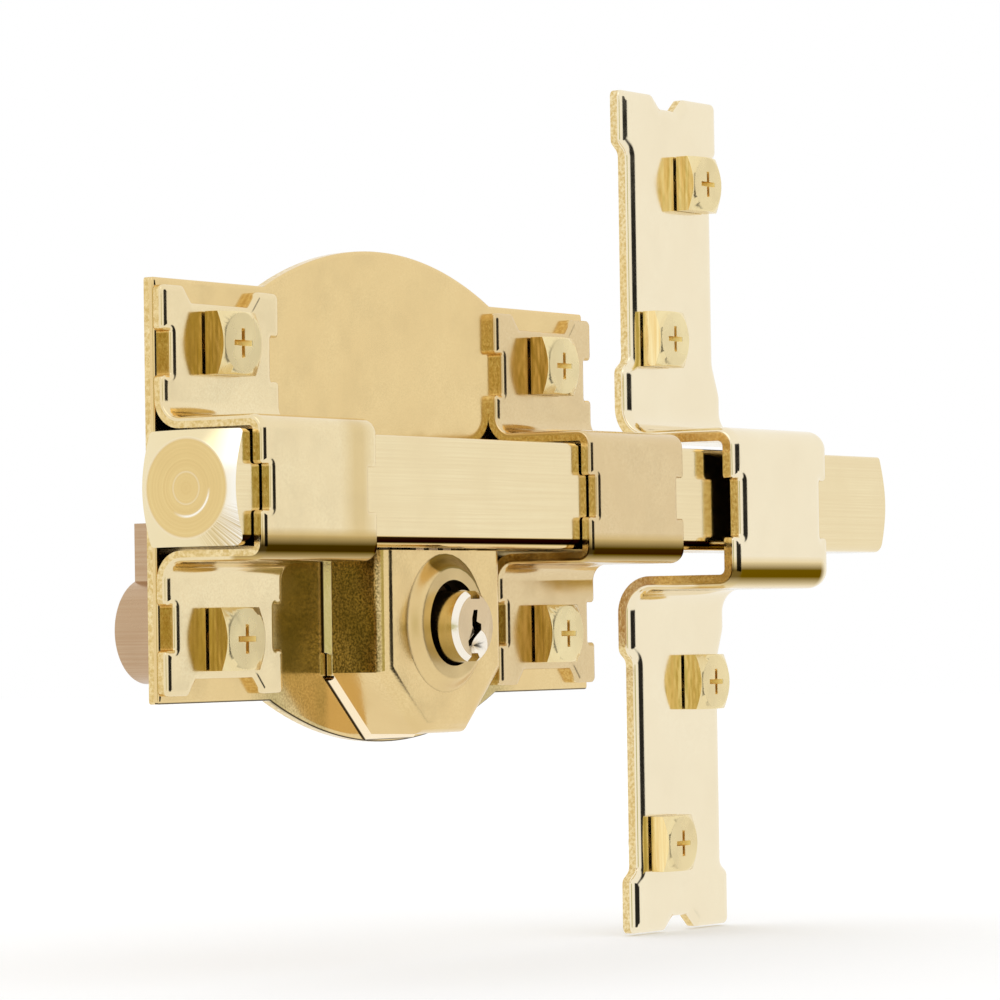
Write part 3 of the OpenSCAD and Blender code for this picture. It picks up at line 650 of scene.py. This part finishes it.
def pressed_sheet(node, sheet, thickness, outline, roll, holes):
    """Replaces a CAD sheet by one with a rolled front edge (width, depth) and a sheared back edge."""
    width, depth = roll
    outline = divided(outline, sheet.lines, GRID_STEP)
    outer = np.array([tuple(p) for p in outline])
    run = np.roll(outer, -1, axis=0) - outer
    out = np.stack([run[:, 1], -run[:, 0]], 1)
    out /= np.linalg.norm(out, axis=1)[:, None]
    corner_out = out + np.roll(out, 1, axis=0)
    corner_out /= np.linalg.norm(corner_out, axis=1)[:, None]

    flat = [outer]
    for degrees in ROLL_ANGLES:
        reach = width * (1 - math.cos(math.radians(degrees)))
        ring = outer - corner_out * reach
        flat.append(ring[nearest(outline, ring)[0] > reach - 0.03])
    across = np.arange(outer[:, 0].min(), outer[:, 0].max(), GRID_STEP)
    grid = np.array([(u, v) for v in sheet.lines for u in across]).reshape(-1, 2)
    if len(grid):
        away = nearest(outline, grid)[0]
        kept = [away[i] > width + 0.2 and inside(outline, p) for i, p in enumerate(grid)]
        flat.append(grid[np.array(kept)])
    points = [Vector(p) for p in np.concatenate(flat)]
    loops = [list(range(len(outer)))]
    for hole in holes:
        loops.append(list(range(len(points), len(points) + len(hole))))
        points += [Vector(p) for p in hole]
    rims = [(a, b) for loop in loops for a, b in zip(loop, loop[1:] + loop[:1])]
    points, _, triangles = delaunay_2d_cdt(points, rims, loops[:1], 1, 1e-4, False)[:3]
    middles = [sum((points[k] for k in t), Vector((0, 0))) / 3 for t in triangles]
    off_rim = nearest(outline, np.array([tuple(m) for m in middles]))[0] > 0.003
    triangles = [t for t, m, clear in zip(triangles, middles, off_rim)
                 if clear and inside(outline, m) and not any(inside(hole, m) for hole in holes)]

    used = sorted({k for t in triangles for k in t})
    number = {k: i for i, k in enumerate(used)}
    points = [points[k] for k in used]
    triangles = [[number[k] for k in t] for t in triangles]
    triangles = [t if area_tri(*(points[k] for k in t)) > 0 else t[::-1] for t in triangles]
    count = len(points)
    distance, towards = nearest(outline, np.array([tuple(p) for p in points]))

    edges = {(t[i], t[(i + 1) % 3]) for t in triangles for i in range(3)}
    rim = [(a, b) for a, b in edges if (b, a) not in edges]
    rim_out = {}
    for a, b in rim:
        step = (points[b] - points[a]).normalized()
        for k in (a, b):
            rim_out[k] = rim_out.get(k, Vector((0, 0))) + Vector((step.y, -step.x))

    spots, normals = [], {}
    middle = {k: 2 * count + i for i, k in enumerate(sorted(rim_out))}
    for k, p in enumerate(points):
        turn = math.acos(1 - min(1.0, distance[k] / width))
        along_u, along_v, front = sheet.axes(p.y)
        away = Vector(towards[k]) if distance[k] > 1e-3 else rim_out.get(k, Vector((0, 0)))
        away = away.normalized()
        sideways = (away.x * along_u + away.y * along_v) * (math.cos(turn) / width)
        normals[k] = (sideways + front * (math.sin(turn) / depth)).normalized()
        normals[k + count] = -front
        spots.append(sheet.place(p.x, p.y, depth * (1 - math.sin(turn))))
    spots += [sheet.place(p.x, p.y, thickness) for p in points]
    shear = max(depth, thickness * MID_SHEAR)
    spots += [sheet.place(points[k].x, points[k].y, shear) for k in sorted(rim_out)]

    faces, corner_normals, face_metal = [], [], []
    for a, b, c in triangles:
        faces += [(a, b, c), (a + count, c + count, b + count)]
        corner_normals += [normals[a], normals[b], normals[c]] + [normals[a + count]] * 3
        face_metal += [0, 0]
    for a, b in rim:
        sides = []
        for k in (a, b):
            along_u, along_v, _ = sheet.axes(points[k].y)
            away = rim_out[k].normalized()
            sides.append(away.x * along_u + away.y * along_v)
        first, second = (a, middle[a], middle[b], b), (middle[a], a + count, b + count, middle[b])
        faces += [first, second]
        corner_normals += [sides[0], sides[0], sides[1], sides[1]] * 2
        face_metal += [0, 1]

    mesh = bpy.data.meshes.new(node + "_sheet")
    mesh.from_pydata([s * MM for s in spots], [], faces)
    for face, index in zip(mesh.polygons, face_metal):
        face.use_smooth = True
        face.material_index = index
    mesh.normals_split_custom_set(corner_normals)
    mesh.materials.append(METALS[NODE_METAL[node]])
    mesh.materials.append(METALS["sheared"])
    return stand_for(node, mesh)


# ---------------------------------------------------------------- the bolt

BAR_LOW_R = 2.0 * MM        # rounding of the bar's lower front edge
BAR_EDGE_R = 0.8 * MM       # rounding of its other long edges
BAR_CONE = math.radians(30)
BAR_END = 4 * MM            # length of the turned part at each end


def turned_bar():
    """The bolt with exact normals on its turned cones and rounded edges, and turning marks on its ends."""
    low, high = (Vector(corner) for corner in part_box("bolt"))
    axis_y = (low.y + high.y) / 2
    half = (high.z - low.z) / 2
    mesh = cad_copy("bolt")
    mesh.materials.append(METALS["bar end"])
    corner_normals = []
    for face in mesh.polygons:
        facing, middle = face.normal, face.center
        end = min(middle.x - low.x, high.x - middle.x) < BAR_END
        edge_r = BAR_LOW_R if facing.y < 0 and facing.z < 0 else BAR_EDGE_R
        arc = Vector((axis_y + math.copysign(half - edge_r, facing.y),
                      math.copysign(half - edge_r, facing.z)))
        on_arc = abs(middle.y - axis_y) > half - edge_r and abs(middle.z) > half - edge_r
        if end and abs(facing.x) > 0.3:
            face.material_index = 1
        for k in face.vertices:
            place = mesh.vertices[k].co
            if end and 0.3 < abs(facing.x) < 0.98:
                out = Vector((place.y - axis_y, place.z)).normalized() * math.sin(BAR_CONE)
                corner_normals.append((math.copysign(math.cos(BAR_CONE), facing.x), out.x, out.y))
            elif abs(facing.x) < 0.1 and on_arc and min(abs(facing.y), abs(facing.z)) > 0.02:
                out = (Vector((place.y, place.z)) - arc).normalized()
                corner_normals.append((0, out.x, out.y))
            else:
                corner_normals.append(tuple(facing))
    mesh.normals_split_custom_set(corner_normals)
    stand_for("bolt", mesh)


# ---------------------------------------------------------------- the parts

PLATE_T = 2.2
STRAP = dict(sheet=2.2, half=11.4, bridge=-27.05, end=38.5, foot_r=3.4, bend_r=3.0)
STRIKE = dict(sheet=3.0, half=14.3, bridge=-29.9, end=91.5, foot_r=5.0, bend_r=4.2)
STRAP_W = 37.0
STRIKE_W = 40.5
SCREW_HOLE_R = 3.2
PLUG_AXIS_Z = -26.2
PLUG_HOLE_Z = -25.5         # middle of the housing's hole and boss
PLUG_HOLE_R = 8.5
BOSS_R = 14.2
BOSS_H = 2.1
BARREL_R = 11.1             # of the plate's hole for the barrel
FIN_HALF = 4.1              # half width of that hole's slot for the barrel's fin
FIN_TOP = 22.3              # top of that slot above the barrel's axis
TAB_SIZE = (1.0, 1.4, 4.6)
TAB_PLACE = (-3.1, -33.3)   # Y and Z of the tabs' middle
TAB_EDGE = 0.3              # rounding of the tabs' edges


def circle(u, v, radius, count=32):
    """Points of a circle, anticlockwise."""
    return [(u + radius * math.cos(math.tau * k / count), v + radius * math.sin(math.tau * k / count))
            for k in range(count)]


def mount(name):
    """A mount of the record."""
    for entry in frame["record"]["mounts"]:
        if entry["name"] == name:
            return entry


def lock_screws():
    """X and Z of the four screws through the straps, in millimetres."""
    dims = mount("lock_screws")["dims"]
    across, up = dims["spacing_x_mm"] / 2, dims["spacing_y_mm"] / 2
    return [(sx * across, sz * up) for sx in (-1, 1) for sz in (-1, 1)]


def strike_screws():
    """X and Z of the strike's four screws, in millimetres."""
    names = ["strike_screw_top", "strike_screw_upper", "strike_screw_lower", "strike_screw_bottom"]
    return [(mount(n)["pos_m"][0] / MM, mount(n)["pos_m"][2] / MM) for n in names]


def screw_faces(node, spots):
    """A rule for a screw face's metal: 1 in its cross recess, 2 on the left and right sides of its head."""
    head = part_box(node)[0][1]

    def rule(face):
        x, y, z = face.center
        near = min(math.hypot(x / MM - sx, z / MM - sz) for sx, sz in spots)
        if near < 3.4 and 0.2 < (y - head) / MM < 2.8:
            return 1
        return 2 if abs(face.normal.x) > 0.9 else 0
    return rule


def around_plug(face):
    """Metal of a housing face: 1 on the wall of the hole around the plug, 2 on the boss, else 0."""
    x, y, z = face.center / MM
    radius = math.hypot(x, z - PLUG_HOLE_Z)
    if abs(face.normal.y) < 0.3 and radius < PLUG_HOLE_R + 0.2:
        return 1
    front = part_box("cylinder_housing")[0][1] / MM
    return 2 if radius < BOSS_R and y < front + BOSS_H - 0.02 else 0


def foot_tabs():
    """The tabs seen in the two notches of the housing's foot."""
    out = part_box("cylinder_housing")[1][0] / MM - 1.5
    for side in (-1, 1):
        bm = bmesh.new()
        place = Matrix.Translation(Vector((side * out, *TAB_PLACE)) * MM)
        bmesh.ops.create_cube(bm, size=MM, matrix=place @ Matrix.Diagonal((*TAB_SIZE, 1)))
        bmesh.ops.bevel(bm, geom=bm.edges[:], offset=TAB_EDGE * MM, segments=3, profile=0.5,
                        affect="EDGES")
        mesh = bpy.data.meshes.new("foot_tab")
        bm.to_mesh(mesh)
        bm.free()
        mesh.materials.append(METALS["strap"])
        tab = bpy.data.objects.new("foot_tab_left" if side < 0 else "foot_tab_right", mesh)
        bpy.context.scene.collection.objects.link(tab)
        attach(tab, body_of("cylinder_housing"))


def middle_x(node):
    """X of the middle of a node's box, in millimetres."""
    low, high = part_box(node)
    return (low[0] + high[0]) / 2 / MM


def middle_z(node):
    """Z of the middle of a node's box, in millimetres."""
    low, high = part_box(node)
    return (low[2] + high[2]) / 2 / MM


def guide_strap(node):
    """A strap over the bolt, notched at its bridge, flanges and ends."""
    x = middle_x(node)
    sheet = HatSheet(-PLATE_T, x=x, z=0.0, **STRAP)
    edge, notch = STRAP_W / 2, STRAP_W / 2 - 2.7
    low, high = sheet.at(21.5), sheet.at(30.0)
    quarter = [
        (notch, 4.3, 0.5), (edge, 4.3, 0.7), (edge, low, 0.9), (notch, low, 0.5), (notch, high, 0.5),
        (edge, high, 0.9), (edge, sheet.tip, 1.2), (11.75, sheet.tip, 1.2), (9.0, sheet.tip - 3.1, 1.0)]
    holes = [circle(sx - x, math.copysign(sheet.at(abs(sz)), sz), SCREW_HOLE_R)
             for sx, sz in lock_screws() if abs(sx - x) < 5]
    pressed_sheet(node, sheet, STRAP["sheet"], rounded(all_round(quarter)), (1.4, 0.6), holes)


def strike():
    """The strike, with short, crisp shoulders on its left and long, soft ones on its right."""
    x, z = middle_x("strike"), middle_z("strike")
    sheet = HatSheet(0.0, x=x, z=z, **STRIKE)
    edge, notch = STRIKE_W / 2, STRIKE_W / 2 - 2.9
    bridge_notch = [(STRIKE_W / 2 - 3.0, 6.2, 0.6), (edge, 6.2, 1.0)]
    end = [(notch, sheet.at(78), 2.0), (edge, sheet.at(80), 1.5), (edge, sheet.tip, 1.5),
           (6.75, sheet.tip, 2.0), (3.25, sheet.tip - 2.9, 1.0)]
    left = bridge_notch + [(edge, sheet.at(30.6), 2.0), (notch, sheet.at(32.6), 2.0)] + end
    right = bridge_notch + [(edge, sheet.at(26), 5.0), (notch, sheet.at(33), 5.0)] + end
    holes = [circle(sx - x, math.copysign(sheet.at(abs(sz - z)), sz - z), SCREW_HOLE_R)
             for sx, sz in strike_screws()]
    pressed_sheet("strike", sheet, STRIKE["sheet"], rounded(all_round(right, left)), (2.8, 1.1), holes)


def base_plate():
    """The plate with its round segments and the openings that the CAD plate has."""
    sheet = FlatSheet(-PLATE_T)
    high, rise, dome_r = 40.0, 9.0, 91.0
    start = math.acos((dome_r - rise) / dome_r)
    dome = [(dome_r * math.sin(a), high + rise - dome_r + dome_r * math.cos(a), 0)
            for a in (start * (1 - k / 24) for k in range(24))]
    quarter = [(75.0, high, 0.6)] + dome
    holes = [circle(sx, sz, SCREW_HOLE_R) for sx, sz in lock_screws()]
    holes += [circle(sx, PLUG_AXIS_Z, 1.5, 16) for sx in (-14, 14)] + [circle(0, 4.5, 2.52)]
    fin = math.asin(FIN_HALF / BARREL_R)
    ring = [(BARREL_R * math.sin(a), PLUG_AXIS_Z + BARREL_R * math.cos(a))
            for a in (-fin - (math.tau - 2 * fin) * k / 48 for k in range(49))]
    top = PLUG_AXIS_Z + FIN_TOP
    holes.append([(-FIN_HALF, top)] + ring + [(FIN_HALF, top)])
    for sx in (-20, 20):
        for sz in (-15.5, -27):
            holes.append([(sx + a * 1.05, sz + b * 2.55) for a, b in ((-1, -1), (1, -1), (1, 1), (-1, 1))])
    pressed_sheet("base_plate", sheet, PLATE_T, rounded(all_round(quarter)), (0.9, 0.45), holes)


for name, cad in frame["nodes"].items():
    cad.data.materials.clear()
    cad.data.materials.append(METALS[NODE_METAL[name]])

base_plate()
guide_strap("left_guide_strap")
guide_strap("right_guide_strap")
strike()
turned_bar()
finer_copy("cylinder_housing", 0.2 * MM, others=["shadow", "boss"], choose=around_plug)
foot_tabs()
finer_copy("strap_screws", 0.25 * MM, others=["recess", "screw side"],
           choose=screw_faces("strap_screws", lock_screws()))
finer_copy("strike_screws", 0.25 * MM, others=["recess", "bright side"],
           choose=screw_faces("strike_screws", strike_screws()))
plug = finer_copy("inner_plug", 0.1 * MM)
for face in plug.data.polygons:
    # The dimple's cone is the only slope between these, and it shows its turning facets.
    face.use_smooth = not -0.95 < face.normal.y < -0.86
finer_copy("cylinder_barrel", 0.2 * MM)
for name in ("outer_plug", "plug_coupler", "barrel_screws", "bolt_stop_pin", "drive_pinion"):
    finer_copy(name, 0.1 * MM)


# ---------------------------------------------------------------- stage

def add_camera():
    """The scene's camera."""
    data = bpy.data.cameras.new("camera")
    data.lens = CAMERA_LENS
    data.sensor_width = 36
    data.clip_start = 0.01
    camera = bpy.data.objects.new("camera", data)
    camera.matrix_world = (
        Matrix.Translation(CAMERA_AT)
        @ Matrix.Rotation(math.radians(CAMERA_YAW), 4, "Z")
        @ Matrix.Rotation(math.radians(90 + CAMERA_PITCH), 4, "X")
        @ Matrix.Rotation(math.radians(CAMERA_ROLL), 4, "Z"))
    bpy.context.scene.collection.objects.link(camera)
    bpy.context.scene.camera = camera


OPENING_AT = (-0.72, -0.69, -0.03)      # direction of the tent's opening, near the camera
OPENING_LEVEL = 0.5
OPENING_TINT = (1.0, 0.97, 0.45)
LAMP_AT = (-0.74, -0.09, 0.67)
LAMP_EXTRA = 0.5
STRIPE_AZIMUTH = (8, 16, 46, 50)        # its start, full dark, end of full dark and end, in degrees
STRIPE_HEIGHT = (8, 14)                 # where its ends fade, in degrees from the horizon
STRIPE_LEVEL = 0.02
FLOOR_SIZE = 6
FLOOR_GAP = 0.5 * MM        # between the lowest part and the floor


def add_studio():
    """A white tent. Only reflections see its dark stripe, its dim yellow opening and its lamp."""
    world = bpy.data.worlds.new("studio")
    bpy.context.scene.world = world
    world.use_nodes = True
    n = Nodes(world.node_tree)
    background = n.tree.nodes["Background"]
    ray = n.add("ShaderNodeTexCoord").outputs["Generated"]
    axes = n.parts(ray)

    def near(direction, full, end):
        """1 within full degrees of a direction, falling to 0 at end degrees."""
        node = n.add("ShaderNodeVectorMath", operation="DOT_PRODUCT")
        n.link(ray, node.inputs[0])
        node.inputs[1].default_value = Vector(direction).normalized()
        angle = n.calculated("DEGREES", n.calculated("ARCCOSINE", node.outputs["Value"]))
        return n.spread(angle, 1, 0, full, end, soft=True)

    def darken(light, mask, level):
        """light where mask is 0, level times light where it is 1."""
        return n.calculated("MULTIPLY", light, n.calculated("ADD", n.times(mask, level - 1.0), 1.0))

    flat_y = n.times(axes["Y"], -1.0)
    azimuth = n.calculated("DEGREES", n.calculated("ARCTAN2", axes["X"], flat_y))
    height = n.calculated("DEGREES", n.calculated("ARCSINE", axes["Z"]))
    level = n.calculated("ABSOLUTE", height)
    stripe = n.times(n.band(azimuth, *STRIPE_AZIMUTH, soft=True),
                     n.spread(level, 1, 0, *STRIPE_HEIGHT, soft=True))
    opening = near(OPENING_AT, 8, 18)
    lamp = near(LAMP_AT, 14, 26)

    tent = darken(darken(1.0, stripe, STRIPE_LEVEL), opening, OPENING_LEVEL)
    tent = n.calculated("ADD", tent, n.times(lamp, LAMP_EXTRA))
    path = n.add("ShaderNodeLightPath")
    seen = n.calculated("MAXIMUM", path.outputs["Is Camera Ray"], path.outputs["Is Diffuse Ray"])
    strength = n.add("ShaderNodeMix")
    for key, value in (("Factor", seen), ("A", tent), ("B", 1.0)):
        n.put(value, strength.inputs[key])
    n.link(strength.outputs["Result"], background.inputs["Strength"])
    tinted = n.times(opening, n.calculated("SUBTRACT", 1.0, seen))
    n.link(n.mix(tinted, (1, 1, 1), OPENING_TINT), background.inputs["Color"])


def add_floor():
    """A pale floor that the metal doesn't mirror."""
    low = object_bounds()[0][2]
    bpy.ops.mesh.primitive_plane_add(size=FLOOR_SIZE, location=(0, 0, low - FLOOR_GAP))
    floor = bpy.context.object
    floor.name = "floor"
    n = Material("floor_paper")
    n.shader.inputs["Base Color"].default_value = (0.93, 0.93, 0.93, 1)
    n.shader.inputs["Roughness"].default_value = 0.9
    n.shader.inputs["Specular IOR Level"].default_value = 0.0
    n.shader.inputs["Emission Color"].default_value = (1, 1, 1, 1)
    n.shader.inputs["Emission Strength"].default_value = 0.12
    floor.data.materials.append(n.material)
    floor.visible_glossy = False


add_camera()
add_studio()
add_floor()
bpy.context.scene.view_settings.view_transform = "Standard"
